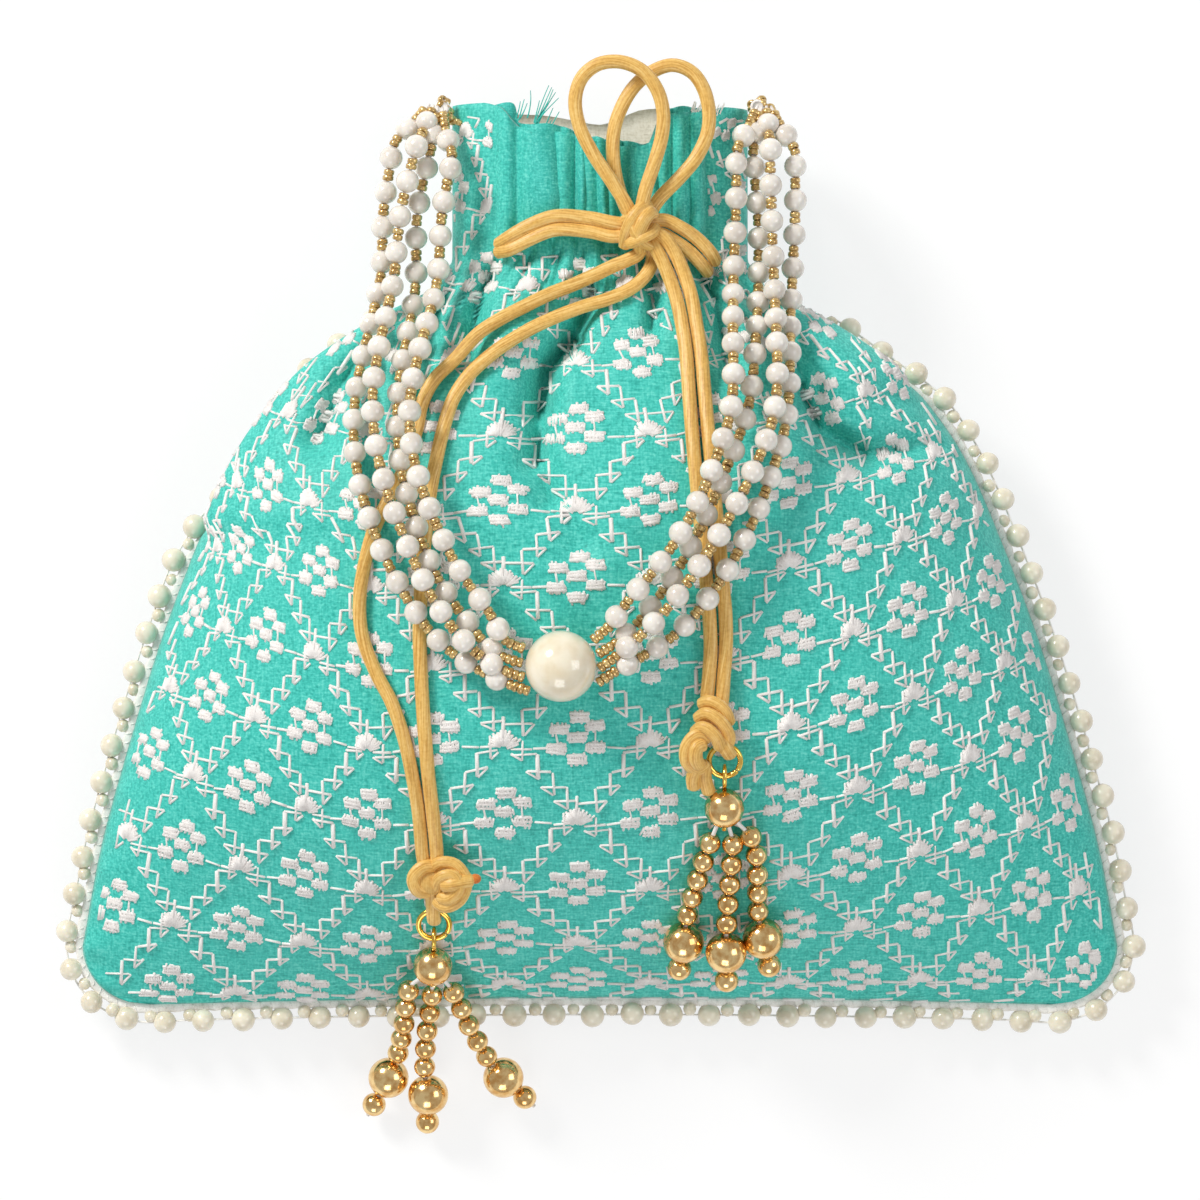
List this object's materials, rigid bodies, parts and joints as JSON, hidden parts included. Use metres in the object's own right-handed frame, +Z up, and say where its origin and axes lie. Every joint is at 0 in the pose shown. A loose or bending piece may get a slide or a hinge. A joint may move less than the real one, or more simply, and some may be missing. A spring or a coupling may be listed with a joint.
{
  "type": "potli bag",
  "caption": "Drawstring potli pouch in embroidered cloth with a pearl bead handle, pearl edging and two gold bead tassels on satin cords, lying on its back.",
  "frame": {"origin": "on the surface the bag lies on, below the middle of the bag's outline without its cords and tassels", "axes": "+Y from the bottom seam to the mouth, +X across the bag to the viewer's right, +Z up from the back panel to the front panel"},
  "size_m": [0.2304, 0.2251, 0.0646],
  "materials": {
    "silk": "satin",
    "plain_cloth": "satin",
    "lining_cloth": "matte",
    "lace": "matte",
    "edge_pearl": "gloss",
    "pearl": "gloss",
    "center_pearl": "gloss",
    "satin_cord": "satin",
    "gold_bead": "polished",
    "gold_wire": "polished",
    "thread": "matte"
  },
  "bodies": {
    "bag": {"front_panel": "silk", "back_panel": "silk", "lining": "lining_cloth", "neck_casing": "plain_cloth", "edge_tape": "lace", "edge_pearls": "edge_pearl", "handle_anchor_left": "thread", "handle_anchor_right": "thread", "drawstring_lead_left_upper": "satin_cord", "drawstring_lead_left_lower": "satin_cord", "drawstring_lead_right_upper": "satin_cord", "drawstring_lead_right_lower": "satin_cord", "bow_loop_left": "satin_cord", "bow_loop_right": "satin_cord", "drawstring_tail_left_outer": "satin_cord", "drawstring_tail_left_inner": "satin_cord", "drawstring_tail_right_inner": "satin_cord", "drawstring_tail_right_outer": "satin_cord", "bow_knot": "satin_cord", "end_knot_left": "satin_cord", "end_knot_right": "satin_cord"},
    "handle": {"handle_strand_left_1": "pearl", "handle_strand_left_2": "pearl", "handle_strand_left_3": "pearl", "handle_strand_left_4": "pearl", "handle_strand_right_1": "pearl", "handle_strand_right_2": "pearl", "handle_strand_right_3": "pearl", "handle_strand_right_4": "pearl", "handle_center_pearl": "center_pearl"},
    "tassel_left": {"tassel_left_ring": "gold_wire", "tassel_left_eye": "gold_wire", "tassel_left_head_bead": "gold_bead", "tassel_left_drop_1_beads": "gold_bead", "tassel_left_drop_1_ball": "gold_bead", "tassel_left_drop_1_tip": "gold_bead", "tassel_left_drop_2_beads": "gold_bead", "tassel_left_drop_2_ball": "gold_bead", "tassel_left_drop_2_tip": "gold_bead", "tassel_left_drop_3_beads": "gold_bead", "tassel_left_drop_3_ball": "gold_bead", "tassel_left_drop_3_tip": "gold_bead"},
    "tassel_right": {"tassel_right_ring": "gold_wire", "tassel_right_eye": "gold_wire", "tassel_right_head_bead": "gold_bead", "tassel_right_drop_1_beads": "gold_bead", "tassel_right_drop_1_ball": "gold_bead", "tassel_right_drop_1_tip": "gold_bead", "tassel_right_drop_2_beads": "gold_bead", "tassel_right_drop_2_ball": "gold_bead", "tassel_right_drop_2_tip": "gold_bead", "tassel_right_drop_3_beads": "gold_bead", "tassel_right_drop_3_ball": "gold_bead", "tassel_right_drop_3_tip": "gold_bead"}
  },
  "joints": [
    {"name": "handle_swing", "type": "hinge", "parent": "bag", "child": "handle", "pos_m": [0, 0.096, 0.026], "axis": [-1, 0, 0], "range_deg": [0, 150]},
    {"name": "tassel_left_swing", "type": "hinge", "parent": "bag", "child": "tassel_left", "pos_m": [-0.0344, -0.0712, 0.0332], "axis": [-1, 0, 0], "range_deg": [0, 90]},
    {"name": "tassel_right_swing", "type": "hinge", "parent": "bag", "child": "tassel_right", "pos_m": [0.0254, -0.0366, 0.0508], "axis": [-1, 0, 0], "range_deg": [0, 90]}
  ]
}
